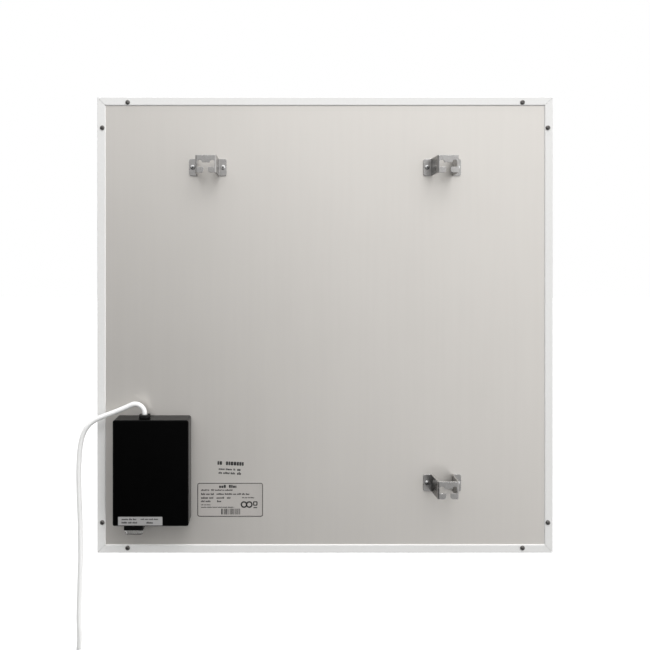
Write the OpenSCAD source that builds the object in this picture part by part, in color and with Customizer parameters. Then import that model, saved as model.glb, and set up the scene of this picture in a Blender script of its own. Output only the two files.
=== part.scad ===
// Framed infrared heating panel that hangs on a wall by three stand-off brackets.
// The wall is the plane y = 0, the panel hangs in front of it towards -Y, and +Z is up.
// The origin lies midway between the upper brackets, level with the wall screws in their slots.
// Left and right are as seen from the room, so right is +X.

/* [Panel] */
// Outer side of the square panel
panel_side = 595; // [585:1:605]
// Depth of the frame from its rear lip to its front lip
frame_depth = 22; // [21:0.5:26]
// Width of the frame lip that shows on the back
rear_lip = 10.8; // [10.3:0.1:11.5]
// Width of the frame lip that shows on the front
front_lip = 9; // [7:0.5:12]
// Wall thickness of the frame extrusion
frame_wall = 1.2; // [1:0.1:1.3]
// Distance of each frame screw from the outer corner
frame_screw_along = 39.8; // [32:0.1:44]
// Distance of each frame screw from the outer edge
frame_screw_in = 6.6; // [5.4:0.1:6.8]

/* [Brackets] */
// Distance from the back plate to the wall
stand_off = 30; // [29.5:0.5:34]
// Half the distance between the left and right brackets
bracket_x = 153; // [140:0.5:160]
// Height of the upper brackets above the centre of the panel
bracket_rise = 206; // [190:1:215]
// Width of a bracket over both feet
bracket_w = 49; // [48:0.5:52]
// Height of the bracket strip
bracket_h = 22; // [21:0.5:24]
// Width of the plate that lies on the wall
bracket_plate_w = 27; // [26.5:0.1:29]
// Thickness of the bracket strip
bracket_t = 1.5; // [1.2:0.1:1.8]
// Distance between the two rivets of a bracket
rivet_spacing = 39.5; // [39:0.5:41]

/* [Control box] */
// Width of the control box
box_w = 96; // [93:0.5:97]
// Height of the control box
box_h = 134; // [132:0.5:136]
// Depth of the control box
box_d = 28; // [27.5:0.1:28.5]
// Distance of the box centre to the right of the panel centre
box_x = 223; // [218:1:224]
// Distance of the box centre below the panel centre
box_drop = 185; // [182:1:190]
// Wall thickness of the box
box_wall = 2.2; // [2:0.1:2.4]

/* [Power cord] */
// Diameter of the power cord
cord_d = 6.4; // [6:0.1:6.6]
// Diameter of the cord coil at the middle of its turns
coil_d = 70; // [66:1:72]
// Length of the plug pins
pin_length = 19; // [18:0.5:20]
// Distance between the plug pins
pin_spacing = 19; // [18:0.5:20]

/* [Hidden] */
$fn = 48;
fit_gap = 0.15;      // clearance between a fastener and its hole
cut = 1;             // how far a cutting shape runs past the face it cuts
half_side = panel_side / 2;

// Hanging slot in a bracket plate, measured from the bracket's centre
ear_w = 6;
ear_spacing = 16;
ear_z = 2;
slot_low = -3.9;
slot_h = 5.7;
entry_w = 5.7;
tongue_tip_r = 3;
panel_z = -(bracket_rise + ear_z);
brackets = [
    [bracket_x, bracket_rise],
    [-bracket_x, bracket_rise],
    [-bracket_x, -bracket_rise]
];

// Layers of the panel, as y positions from the back to the front
plate_y = -stand_off;
lip_y = plate_y + frame_wall;
front_y = lip_y - frame_depth;
back_plate_t = 0.6;
key_t = 3;
key_w = 7.6;
key_arm = 50;
key_in = 1.6;
shelf_w = 9;
shelf_gap = back_plate_t + key_t + 0.1;
shelf_t = 1;
sheet_in = 1.7;
radiator_t = 1;
film_t = 0.4;
busbar_t = 0.3;
sheet_t = 0.3;
foil_t = 0.2;
radiator_back = front_y + frame_wall + radiator_t;
film_back = radiator_back + film_t;
sheet_back = film_back + busbar_t + sheet_t;
foil_back = sheet_back + foil_t;
board_in = 13;
board_front = foil_back;
board_back = plate_y - back_plate_t;

// Wiring channel in the insulation, level with the cable grommet
grommet_x = box_x - 20;
grommet_z = panel_z - box_drop + 49;
grommet_hole_r = 7;
channel_w = 10;
channel_d = 4.4;
busbar_x = 268;
busbar_w = 10;
cutout_size = [20, 4, 8];
cutouts_x = [60, -60];
wire_r = 1.2;

// Control box
box_z = panel_z - box_drop;
box_face = plate_y + box_d;
box_mid_y = plate_y + box_d / 2;
box_r = 3;
box_edge = 0.8;
box_foot_t = 1.6;
boss_r = 3.8;
boss_in = box_wall + 3.6;
boss_x = box_w / 2 - boss_in;
boss_z = box_h / 2 - boss_in;
boss_screw_r = 1.5;
earth_x = box_x - 2;
earth_z = box_z + 52;
circuit_w = 76;
circuit_h = 74;
circuit_t = 1.6;
circuit_back = plate_y + 6.6;
circuit_face = circuit_back + circuit_t;
circuit_screw_x = 34;
circuit_screw_z = 33;
terminal_z = box_z + 29;
terminal_ways = [for (k = [0:5]) 6 * k - 15];
standoff_r = 3;

// Strain relief in the top wall and switch in the bottom wall of the box
relief_x = box_x + 10;
relief_head_h = 4.5;
relief_hole_r = 6;
cord_r = cord_d / 2;
box_top = box_z + box_h / 2;
box_bottom = box_z - box_h / 2;
switch_x = box_x + 22.5;
switch_cutout = [21.8, 16.2];
collar = [25, 19, 7];
switch_cavity = [19, 13];
cavity_depth = 13;
pivot_drop = 1.5;
pivot_r = 1.2;
rocker_depth = 12.4;
rocker_tilt = 10;
boot_size = [22.4, 16.6, 6];
boot_wall = 0.8;

// Route of the free power cord, as steps from the strain relief
cord_exit = [relief_x, box_mid_y, box_top + relief_head_h];
lead_points = [
    [0, 0, 0], [1, 0, 5.3], [4.1, 0, 9.7], [8.7, 0, 12.5], [14, 0, 12.9], [19.1, 0, 11.2],
    [24.3, 0, 8.8], [31, 0, 5.9], [40, 0, 2.3], [51, 0, -1.8], [62.5, 0, -6.8], [72.5, 0, -14.5],
    [79.5, 0, -26.5], [83.3, 0, -45], [84.8, 0, -72], [84.3, 0, -105], [83, 0, -140],
    [82.5, 0, -180], [83.5, 0, -220], [84.5, 0, -260], [84.5, -2, -290], [88, -6, -315],
    [96, -11, -340], [105, -12.8, -368]
];
coil_centre = [73, 0, -385];
tail_points = [
    [108, -6.4, -385], [108, -6.4, -402], [104.5, -6, -417], [100.5, -6, -430], [100, -6, -443]
];
plug_top = cord_exit + [100, -6, -443];
lead_rings = 3;      // rings between two points of the route
tail_rings = 2;

// Plug, measured down from the end of the cord
plug_r = 19;
plug_flat_w = 33;
plug_neck_l = 22;
plug_body_l = 34;
pin_r = 2.4;
pin_root_r = 2;
pin_root_l = 6;
plug_face_z = plug_top[2] - plug_neck_l - plug_body_l;

// ---- Shared shapes ----

module rounded_rect(w, h, r) {
    square([w - 2 * r, h], center = true);
    square([w, h - 2 * r], center = true);
    for (x = [-1, 1], z = [-1, 1])
        translate([x * (w / 2 - r), z * (h / 2 - r)]) circle(r);
}

// Upright outline in x and z, given thickness from y_front back to y_back
module upright(y_front, y_back)
    translate([0, y_back, 0]) rotate([90, 0, 0]) linear_extrude(y_back - y_front) children();

// Round bar along y
module bar_y(r, y_front, y_back)
    translate([0, y_back, 0]) rotate([90, 0, 0]) cylinder(r = r, h = y_back - y_front);

module block(size) cube(size, center = true);

// Pan-head screw along y, with the underside of its head at the origin and its head towards +y
module pan_screw(head_r, head_h, shank_r, shank_l) {
    outline = concat(
        [[0, -shank_l], [shank_r - 0.3, -shank_l], [shank_r, 0.3 - shank_l], [shank_r, 0]],
        [[head_r, 0]],
        [for (a = [0:18:90]) [head_r * cos(a), head_h * (0.3 + 0.7 * sin(a))]]
    );
    rotate([-90, 0, 0]) difference() {
        rotate_extrude() polygon(outline);
        for (turn = [0, 90]) rotate([0, 0, turn]) translate([0, 0, head_h])
            block([head_r * 1.15, head_r * 0.28, head_h]);
    }
}

// ---- Tubes along a path ----

function unit(v) = v / norm(v);
function tangent(p, i) = unit(p[min(i + 1, len(p) - 1)] - p[max(i - 1, 0)]);
function square_to(n, t) = unit(n - (n * t) * t);
function normal_at(p, i, n0) =
    i == 0 ? square_to(n0, tangent(p, 0)) : square_to(normal_at(p, i - 1, n0), tangent(p, i));
function before(p, i) = i > 0 ? p[i - 1] : 2 * p[0] - p[1];
function after(p, i) = i < len(p) ? p[i] : 2 * p[len(p) - 1] - p[len(p) - 2];

// Smooth curve through every point of p, at t from 0 to 1 between points i and i + 1
function curve_at(p, i, t) =
    let (a = before(p, i), b = p[i], c = p[i + 1], d = after(p, i + 2))
    0.5 * (2 * b + (c - a) * t + (2 * a - 5 * b + 4 * c - d) * t * t
        + (3 * b - a - 3 * c + d) * t * t * t);
function smooth(p, steps) = concat(
    [for (i = [0:len(p) - 2], k = [0:steps - 1]) curve_at(p, i, k / steps)],
    [p[len(p) - 1]]
);

module tube(p, r, sides, n0 = [0.31, 0.95, 0]) {
    rings = len(p);
    corners = [
        for (i = [0:rings - 1])
            let (t = tangent(p, i), n = normal_at(p, i, n0), m = cross(t, n))
            for (k = [0:sides - 1]) p[i] + r * (cos(360 * k / sides) * n + sin(360 * k / sides) * m)
    ];
    walls = [
        for (i = [0:rings - 2], k = [0:sides - 1])
            let (a = i * sides + k, b = i * sides + (k + 1) % sides)
            each [[a, b, a + sides], [b, b + sides, a + sides]]
    ];
    ends = [
        [for (k = [sides - 1:-1:0]) k],
        [for (k = [0:sides - 1]) (rings - 1) * sides + k]
    ];
    polyhedron(points = corners, faces = [for (f = concat(walls, ends)) [for (j = [len(f) - 1:-1:0]) f[j]]]);
}

module wire(p) tube(smooth(p, 3), wire_r, 8);

// ---- Frame ----

// Cross-section of the frame: first value along -y from the rear lip, second inward from the edge
frame_section = [
    [0, 0.4], [0, rear_lip - 0.9], [0.9, rear_lip], [frame_wall, rear_lip],
    [frame_wall, frame_wall], [frame_wall + shelf_gap, frame_wall],
    [frame_wall + shelf_gap, shelf_w], [frame_wall + shelf_gap + shelf_t, shelf_w],
    [frame_wall + shelf_gap + shelf_t, frame_wall], [frame_depth - frame_wall, frame_wall],
    [frame_depth - frame_wall, front_lip], [frame_depth - 0.5, front_lip],
    [frame_depth, front_lip - 0.5], [frame_depth, 0.6], [frame_depth - 0.6, 0], [0.4, 0]
];

// Frame screw places on the side of the frame that lies on top
module at_frame_screws(turns = [0:90:270])
    for (turn = turns, side = [-1, 1])
        translate([0, 0, panel_z]) rotate([0, turn, 0])
            translate([side * (half_side - frame_screw_along), 0, half_side - frame_screw_in])
                children();

module frame_side(turn) {
    mitre_gap = 0.18;
    reach = 20;
    color("white") difference() {
        translate([0, lip_y, panel_z]) rotate([0, turn, 0]) intersection() {
            translate([-half_side, 0, half_side]) rotate([90, 0, 90]) linear_extrude(panel_side)
                polygon([for (s = frame_section) [-s[0], -s[1]]]);
            upright(-frame_depth - cut, cut) polygon([
                [-half_side + mitre_gap, half_side], [half_side - mitre_gap, half_side],
                [half_side - reach - mitre_gap, half_side - reach],
                [reach + mitre_gap - half_side, half_side - reach]
            ]);
        }
        at_frame_screws([turn]) bar_y(1.5 + fit_gap, lip_y - frame_wall - 0.5, lip_y + cut);
    }
}

module frame_top() frame_side(0);
module frame_right() frame_side(90);
module frame_bottom() frame_side(180);
module frame_left() frame_side(270);

module corner_keys() {
    corner = half_side - key_in;
    color("silver") difference() {
        translate([0, 0, panel_z]) for (turn = [0:90:270]) rotate([0, turn, 0])
            upright(board_back - key_t, board_back) polygon([
                [corner - key_arm, corner], [corner, corner], [corner, corner - key_arm],
                [corner - key_w, corner - key_arm], [corner - key_w, corner - key_w],
                [corner - key_arm, corner - key_w]
            ]);
        at_frame_screws() bar_y(1.5 + fit_gap, board_back - key_t - cut, board_back + cut);
    }
}

module frame_screws()
    color("dimgray") at_frame_screws() translate([0, lip_y, 0]) pan_screw(3, 1.9, 1.5, 4.7);

// ---- Layers of the panel ----

module layer(side, y_front, y_back)
    translate([0, 0, panel_z]) upright(y_front, y_back) square(side, center = true);

module at_rivets()
    for (b = brackets, side = [-1, 1])
        translate([b[0] + side * rivet_spacing / 2, 0, panel_z + b[1]]) children();

module at_box_screws()
    for (x = [-1, 1], z = [-1, 1]) translate([box_x + x * boss_x, 0, box_z + z * boss_z]) children();

module back_plate() {
    low = plate_y - back_plate_t - cut;
    color("gainsboro") difference() {
        layer(panel_side - 2 * sheet_in, plate_y - back_plate_t, plate_y);
        at_frame_screws() bar_y(1.5 + 2 * fit_gap, low, plate_y + cut);
        at_rivets() bar_y(2 + fit_gap, low, plate_y + cut);
        at_box_screws() bar_y(boss_screw_r + fit_gap, low, plate_y + cut);
        translate([earth_x, 0, earth_z]) bar_y(2 + fit_gap, low, plate_y + cut);
        translate([grommet_x, 0, grommet_z]) bar_y(grommet_hole_r, low, plate_y + cut);
    }
}

module insulation_board() {
    pocket = board_back - 5;
    color("khaki") difference() {
        layer(panel_side - 2 * board_in, board_front, board_back);
        translate([0, board_front + channel_d / 2, grommet_z])
            block([2 * busbar_x + busbar_w, channel_d + 0.01, channel_w]);
        translate([grommet_x, 0, grommet_z]) bar_y(10, board_front - cut, board_back + cut);
        at_rivets() bar_y(4, pocket, board_back + cut);
        at_box_screws() bar_y(4, pocket, board_back + cut);
        translate([earth_x, 0, earth_z]) bar_y(5, pocket, board_back + cut);
    }
}

module reflective_foil()
    color("silver") layer(512, sheet_back, foil_back);

module insulating_sheet()
    color("lightyellow") layer(516, film_back + busbar_t, sheet_back);

module copper_busbars()
    color("peru") for (side = [-1, 1])
        translate([side * busbar_x, film_back + busbar_t / 2, panel_z])
            block([busbar_w, busbar_t, 540]);

module heating_film()
    color("dimgray") layer(556, radiator_back, film_back);

module radiating_plate()
    color("white") layer(panel_side - 2 * sheet_in, radiator_back - radiator_t, radiator_back);

module thermal_cutouts() {
    color("saddlebrown") for (x = cutouts_x)
        translate([x, board_front + cutout_size[1] / 2, grommet_z]) block(cutout_size);
}

// ---- Brackets ----

function arc(centre, r, from, to) =
    [for (k = [0:5]) centre + r * [cos(from + (to - from) * k / 5), sin(from + (to - from) * k / 5)]];
function mirrored(p) = [for (k = [len(p) - 1:-1:0]) [-p[k][0], p[k][1]]];

// Hat-shaped bent strip with its feet on y = 0
module bracket_strip() {
    inner_r = 0.6;
    outer_r = inner_r + bracket_t;
    lean = 2.2;
    top_bend = [bracket_plate_w / 2 - outer_r, stand_off - outer_r];
    foot_y = outer_r;
    foot_x = top_bend[0] + (outer_r + inner_r - sin(lean) * (foot_y - top_bend[1])) / cos(lean);
    foot_bend = [foot_x, foot_y];
    outer_side = concat(
        arc(top_bend, outer_r, 90, lean),
        arc(foot_bend, inner_r, 180 + lean, 270),
        [[bracket_w / 2, bracket_t]]
    );
    inner_side = concat(
        [[bracket_w / 2, 0]],
        arc(foot_bend, outer_r, 270, 180 + lean),
        arc(top_bend, inner_r, lean, 90)
    );
    translate([0, 0, -bracket_h / 2]) linear_extrude(bracket_h)
        polygon(concat(outer_side, inner_side, mirrored(inner_side), mirrored(outer_side)));
}

// Outline of the hanging slot: two ears over a wide slot with an entry between two tongues
module hanging_slot() {
    low = -bracket_h / 2;
    for (side = [-1, 1]) translate([side * ear_spacing / 2, ear_z]) {
        circle(ear_w / 2);
        translate([-ear_w / 2, slot_low - ear_z]) square([ear_w, ear_z - slot_low]);
    }
    translate([-(ear_spacing + ear_w) / 2, slot_low]) square([ear_spacing + ear_w, slot_h]);
    translate([-entry_w / 2, low - cut]) square([entry_w, slot_low - low + 2 * cut]);
    for (side = [0, 1]) mirror([side, 0]) translate([entry_w / 2, low]) difference() {
        translate([-cut, -cut]) square(tongue_tip_r + cut);
        translate([tongue_tip_r, tongue_tip_r]) circle(tongue_tip_r);
    }
}

module bracket(place) {
    color("darkgray") translate([place[0], plate_y, panel_z + place[1]]) difference() {
        intersection() {
            bracket_strip();
            upright(-cut, stand_off + cut) rounded_rect(bracket_w, bracket_h, 2.5);
        }
        upright(stand_off - 2 * bracket_t, stand_off + cut) hanging_slot();
        for (side = [-1, 1]) translate([side * rivet_spacing / 2, 0, 0])
            bar_y(2 + fit_gap, -cut, bracket_t + cut);
    }
}

module bracket_upper_right() bracket(brackets[0]);
module bracket_upper_left() bracket(brackets[1]);
module bracket_lower_left() bracket(brackets[2]);

module bracket_rivets() {
    head_r = 3.2;
    head_h = 1.2;
    grip = bracket_t + back_plate_t;
    outline = concat(
        [[1.1, head_h]],
        [for (a = [60:-20:0]) [head_r * cos(a), head_h * (0.2 + 0.8 * sin(a))]],
        [[head_r, 0], [2, 0], [2, -grip], [2.9, -grip - 0.6], [2.9, -grip - 2.2], [2, -grip - 3]],
        [[0, -grip - 3], [0, head_h - 1], [1.1, head_h - 1]]
    );
    color("silver") at_rivets() translate([0, plate_y + bracket_t, 0]) rotate([-90, 0, 0])
        rotate_extrude() polygon(outline);
}

// ---- Control box ----

// Solid block of the box's outer shape, w by h, with a bevel round its outer face
module box_shape(w, h, y_back, y_face, r, bevel) {
    intersection() {
        translate([box_x, 0, box_z]) upright(y_back, y_face) rounded_rect(w, h, r);
        translate([box_x, 0, box_z - h / 2]) linear_extrude(h) polygon([
            [-w / 2, y_back], [w / 2, y_back], [w / 2, y_face - bevel],
            [w / 2 - bevel, y_face], [bevel - w / 2, y_face], [-w / 2, y_face - bevel]
        ]);
        translate([box_x - w / 2, 0, box_z]) rotate([90, 0, 90]) linear_extrude(w) polygon([
            [y_back, -h / 2], [y_face - bevel, -h / 2], [y_face, bevel - h / 2],
            [y_face, h / 2 - bevel], [y_face - bevel, h / 2], [y_back, h / 2]
        ]);
    }
}

module control_box_cover() {
    boss_low = plate_y + box_foot_t;
    color([0.08, 0.08, 0.08]) difference() {
        union() {
            difference() {
                box_shape(box_w, box_h, plate_y, box_face, box_r, box_edge);
                translate([box_x, 0, box_z]) upright(plate_y - cut, box_face - box_wall)
                    rounded_rect(box_w - 2 * box_wall, box_h - 2 * box_wall, box_r - box_wall / 2);
            }
            at_box_screws() bar_y(boss_r, boss_low, box_face - box_wall + 0.2);
        }
        at_box_screws() bar_y(boss_screw_r + fit_gap, boss_low - cut, boss_low + 12);
        translate([relief_x, box_mid_y, box_top - box_wall - cut])
            cylinder(r = relief_hole_r, h = box_wall + 2 * cut);
        translate([switch_x, box_mid_y, box_bottom + box_wall / 2])
            block([switch_cutout[0], switch_cutout[1], box_wall + 2 * cut]);
    }
}

module at_circuit_screws()
    for (x = [-1, 1], z = [-1, 1])
        translate([box_x + x * circuit_screw_x, 0, box_z + z * circuit_screw_z]) children();

module control_box_foot() {
    side_gap = 2 * box_wall + 0.6;
    top = plate_y + box_foot_t;
    color([0.2, 0.2, 0.2]) difference() {
        union() {
            translate([box_x, 0, box_z]) upright(plate_y, top)
                rounded_rect(box_w - side_gap, box_h - side_gap, 1.5);
            at_circuit_screws() bar_y(standoff_r, top - 0.2, circuit_back);
        }
        at_box_screws() bar_y(boss_screw_r + fit_gap, plate_y - cut, top + cut);
        at_circuit_screws() bar_y(1.25 + fit_gap, plate_y + 1, circuit_back + cut);
        translate([earth_x, 0, earth_z]) bar_y(7.6, plate_y - cut, top + cut);
        translate([grommet_x, 0, grommet_z]) bar_y(9.5, plate_y - cut, top + cut);
    }
}

// Screws from inside the panel, with their heads in pockets of the insulation
module control_box_screws()
    color("silver") at_box_screws() translate([0, board_back, 0]) rotate([0, 0, 180])
        pan_screw(3, 2, boss_screw_r, 12);

module circuit_board() {
    color("green") difference() {
        translate([box_x, 0, box_z]) upright(circuit_back, circuit_face)
            rounded_rect(circuit_w, circuit_h, 1.5);
        at_circuit_screws() bar_y(1.25 + 2 * fit_gap, circuit_back - cut, circuit_face + cut);
    }
}

module circuit_screws()
    color("silver") at_circuit_screws() translate([0, circuit_face, 0]) pan_screw(2.3, 1.6, 1.25, 6);

// Place on the circuit board's face, x to the right and z up from its centre
module on_board(x, z) translate([box_x + x, circuit_face, box_z + z]) children();

// Component case that stands on the board, with its upright edges bevelled
module component(w, d, h, bevel = 0.6) {
    rotate([-90, 0, 0]) linear_extrude(d) polygon([
        [bevel - w / 2, -h / 2], [w / 2 - bevel, -h / 2], [w / 2, bevel - h / 2],
        [w / 2, h / 2 - bevel], [w / 2 - bevel, h / 2], [bevel - w / 2, h / 2],
        [-w / 2, h / 2 - bevel], [-w / 2, bevel - h / 2]
    ]);
}

module relay() color("royalblue") on_board(-25, 5) component(15.5, 15.8, 19);

module power_module() color("black") on_board(11, 4) component(34, 15, 20);

module filter_capacitor() color("gold") on_board(26, 24) component(8, 12, 15);

module varistor() color("steelblue") on_board(-9, -12) translate([0, 5.5, 0]) rotate([0, 90, 0])
    cylinder(r = 5.4, h = 4, center = true);

module wireless_module() color("slategray") on_board(-26, -18) {
    component(18, 0.8, 25, 0.3);
    translate([0, 0.8, -3]) component(15, 2.2, 17);
}

module fuse() {
    color("lightsteelblue") on_board(12, -14) {
        translate([0, 4.2, 0]) rotate([0, 90, 0]) cylinder(r = 2.6, h = 20, center = true);
        for (side = [-1, 1]) translate([side * 8, 2, 0]) block([5, 4, 6.2]);
    }
}

module terminal_block() {
    color("forestgreen") difference() {
        on_board(0, terminal_z - box_z) component(37, 12, 9, 0.3);
        for (x = terminal_ways) on_board(x, terminal_z - box_z) {
            translate([0, 12, 0]) rotate([90, 0, 0]) cylinder(r = 1.8, h = 3);
            translate([0, 6, 3]) block([3.6, 4, 6]);
        }
    }
}

module wire_grommet() {
    inner_r = 4.6;
    lip_r = 9;
    groove_r = grommet_hole_r - 0.1;
    color([0.15, 0.15, 0.15]) translate([grommet_x, plate_y, grommet_z]) rotate([-90, 0, 0])
        rotate_extrude() polygon([
            [inner_r, -back_plate_t - 2], [lip_r, -back_plate_t - 2], [lip_r, -back_plate_t],
            [groove_r, -back_plate_t], [groove_r, 0], [lip_r, 0], [lip_r - 0.6, 2], [inner_r, 2]
        ]);
}

// ---- Wiring ----

channel_y = board_front + wire_r + 0.1;

module solder_pad(side)
    translate([side * busbar_x, 0, grommet_z]) bar_y(2.5, film_back + busbar_t, board_front + 1);

module live_wire() {
    lane_z = grommet_z + 1.6;
    near_end = cutouts_x[0] + cutout_size[0] / 2;
    far_end = cutouts_x[1] - cutout_size[0] / 2;
    gap = cutouts_x[0] - cutouts_x[1] - cutout_size[0];
    color("sienna") {
        wire([
            [box_x + terminal_ways[0], circuit_face + 6, terminal_z + 2],
            [box_x + terminal_ways[0], circuit_face + 6, terminal_z + 11],
            [grommet_x - 1, plate_y + 8, lane_z + 0.2], [grommet_x, plate_y + 1, lane_z],
            [grommet_x, plate_y - 6, lane_z], [grommet_x - 1, channel_y + 2, lane_z],
            [grommet_x - 7, channel_y, lane_z], [near_end + 30, channel_y, lane_z],
            [near_end, channel_y, lane_z]
        ]);
        wire([for (x = [0:3]) [cutouts_x[1] + cutout_size[0] / 2 + gap * x / 3, channel_y, lane_z]]);
        wire([for (x = [0:3]) [far_end - (far_end + busbar_x) * x / 3, channel_y, lane_z]]);
        solder_pad(-1);
    }
}

module neutral_wire() {
    lane_z = grommet_z - 1.5;
    color("steelblue") {
        wire([
            [box_x + terminal_ways[1], circuit_face + 6, terminal_z + 2],
            [box_x + terminal_ways[1], circuit_face + 6, terminal_z + 9],
            [grommet_x + 3, plate_y + 8, lane_z - 1], [grommet_x + 1, plate_y + 1, lane_z],
            [grommet_x + 1, plate_y - 6, lane_z], [grommet_x + 2, channel_y + 2, lane_z],
            [grommet_x + 8, channel_y, lane_z], [busbar_x, channel_y, lane_z]
        ]);
        solder_pad(1);
    }
}

module earth_wire() {
    lug_t = 0.8;
    tab_z = earth_z - 5.3;
    color("yellowgreen") {
        wire([
            [box_x + terminal_ways[2], circuit_face + 6, terminal_z + 2],
            [box_x + terminal_ways[2], circuit_face + 4, terminal_z + 9],
            [earth_x - 0.5, plate_y + 7, tab_z - 2.5], [earth_x, plate_y + 3.5, tab_z],
            [earth_x, plate_y + lug_t / 2, tab_z]
        ]);
        translate([earth_x, 0, earth_z]) difference() {
            union() {
                bar_y(4, plate_y, plate_y + lug_t);
                translate([0, plate_y + lug_t / 2, -4.5]) block([3, lug_t, 4]);
            }
            bar_y(2 + 2 * fit_gap, plate_y - cut, plate_y + lug_t + cut);
        }
    }
}

module earth_screw()
    color("gold") translate([earth_x, plate_y + 0.8, earth_z]) pan_screw(3.6, 2.2, 2, 5);

// ---- Power inlet ----

module strain_relief() {
    bore_r = cord_r + 0.1;
    neck_r = relief_hole_r - 0.2;
    head = [14.8, 12.8];
    inside_l = 14;
    color([0.12, 0.12, 0.12]) translate([relief_x, box_mid_y, box_top]) difference() {
        union() {
            intersection() {
                cylinder(r = head[0] / 2, h = relief_head_h);
                translate([0, 0, relief_head_h / 2]) block([head[0], head[1], relief_head_h]);
            }
            translate([0, 0, -box_wall]) cylinder(r = neck_r, h = box_wall + 0.2);
            translate([0, 0, -box_wall - inside_l])
                cylinder(r1 = cord_r + 1.4, r2 = neck_r, h = inside_l + 0.1);
        }
        translate([0, 0, -box_wall - inside_l - cut])
            cylinder(r = bore_r, h = box_wall + inside_l + relief_head_h + 2 * cut);
        // Slit where the clamping wedge closes on the cord
        translate([-bore_r - 3.5, 0, relief_head_h - 1.2]) block([5, 4.4, 3]);
    }
}

sheath_low = box_top - box_wall - 17;

module cord_sheath_end()
    color("white") translate([relief_x, box_mid_y, sheath_low])
        cylinder(r = cord_r - 0.05, h = cord_exit[2] - sheath_low);

module cord_cores() {
    lay_r = 1.8;
    core_ways = [3, 5, 4];
    fan_out = 0.6;
    color("gray") for (k = [0:2]) let (
        across = -lay_r * cos(210 + 120 * k),
        out = lay_r * sin(210 + 120 * k),
        way = box_x + terminal_ways[core_ways[k]]
    ) wire([
        [relief_x - across, box_mid_y + out, sheath_low],
        [relief_x - across, box_mid_y + out, sheath_low - 2],
        [relief_x + fan_out * (way - relief_x), circuit_face + 6, box_z + 41],
        [way, circuit_face + 6, box_z + 36],
        [way, circuit_face + 6, terminal_z + 2]
    ]);
}

// ---- Switch ----

module at_pivot() translate([switch_x, box_mid_y, box_bottom - pivot_drop]) children();

module switch_housing() {
    body = [switch_cutout[0] - 0.3, switch_cutout[1] - 0.3, box_wall + 12];
    color([0.1, 0.1, 0.1]) difference() {
        translate([switch_x, box_mid_y, box_bottom]) union() {
            translate([0, 0, -collar[2]]) linear_extrude(collar[2])
                rounded_rect(collar[0], collar[1], 1.5);
            translate([0, 0, body[2] / 2 - 0.1]) block([body[0], body[1], body[2] + 0.2]);
        }
        translate([switch_x, box_mid_y, box_bottom - collar[2] - cut])
            linear_extrude(cavity_depth + cut) square(switch_cavity, center = true);
        at_pivot() bar_y(pivot_r + 0.06, -switch_cavity[1] / 2 - 1.4, switch_cavity[1] / 2 + 1.4);
    }
}

// Rocker in its off position, tilted so that its right end is pressed in
module switch_rocker() {
    valley = 4.5;
    half_l = 8.2;
    rise = half_l * tan(rocker_tilt);
    color([0.05, 0.05, 0.05]) at_pivot() rotate([0, -rocker_tilt, 0]) {
        upright(-rocker_depth / 2, rocker_depth / 2) polygon([
            [-half_l, -valley - rise], [0, -valley], [half_l, -valley - rise], [half_l, -3],
            [5, 2.5], [-5, 2.5], [-half_l, -3]
        ]);
        bar_y(pivot_r, -rocker_depth / 2 - 1.3, rocker_depth / 2 + 1.3);
    }
}

module switch_terminals()
    color("goldenrod") for (side = [-1, 1])
        translate([switch_x + side * 5, box_mid_y, box_bottom + box_wall + 12 + 4])
            block([0.8, 4.8, 8]);

module switch_wires() {
    low = box_bottom + box_wall + 20;
    color("gray") for (side = [-1, 1]) wire([
        [switch_x + side * 5, box_mid_y, low],
        [switch_x + side * 4, box_mid_y - 1, low + 4],
        [switch_x + side * 3, circuit_face + 3.5, low + 10],
        [switch_x + side * 3, circuit_face + wire_r, low + 14]
    ]);
}

// Clear flexible cap over the rocker
module switch_boot() {
    inner = [boot_size[0] - 2 * boot_wall, boot_size[1] - 2 * boot_wall];
    crown = 2;
    crown_in = 1;
    color([0.85, 0.88, 0.9, 0.5]) translate([switch_x, box_mid_y, box_bottom - collar[2]])
        difference() {
            union() {
                translate([0, 0, crown - boot_size[2]]) linear_extrude(boot_size[2] - crown)
                    rounded_rect(boot_size[0], boot_size[1], 3);
                translate([0, 0, -boot_size[2]]) linear_extrude(crown)
                    rounded_rect(boot_size[0] - crown_in, boot_size[1] - crown_in, 2.6);
            }
            translate([0, 0, crown - boot_size[2]]) linear_extrude(boot_size[2] - crown + cut)
                rounded_rect(inner[0], inner[1], 2.2);
            translate([0, 0, boot_wall - boot_size[2]]) linear_extrude(crown)
                rounded_rect(inner[0] - crown_in, inner[1] - crown_in, 1.8);
        }
}

// ---- Power cord ----

module power_cord()
    color("white") translate(cord_exit) tube(smooth(lead_points, lead_rings), cord_r, 10);

module cord_tail()
    color("white") translate(cord_exit) tube(smooth(tail_points, tail_rings), cord_r, 10);

// Outer shape of six turns, two deep and three side by side
module cord_coil() {
    color("white") translate(cord_exit + coil_centre) rotate([90, 0, 0]) rotate_extrude()
        translate([coil_d / 2, 0]) rounded_rect(2 * cord_d, 3 * cord_d, cord_r);
}

module cord_ties() {
    wrap_t = 1.2;
    inner = [2 * cord_d + 0.4, 3 * cord_d + 0.4];
    color("dimgray") translate(cord_exit + coil_centre) for (turn = [0, 180]) rotate([0, turn, 0])
        translate([-5, 0, coil_d / 2 - 0.1]) rotate([90, 0, 90]) linear_extrude(10) difference() {
            square([inner[1] + 2 * wrap_t, inner[0] + 2 * wrap_t + 1], center = true);
            square([inner[1], inner[0] + 1], center = true);
        }
}

// ---- Plug ----

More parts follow.
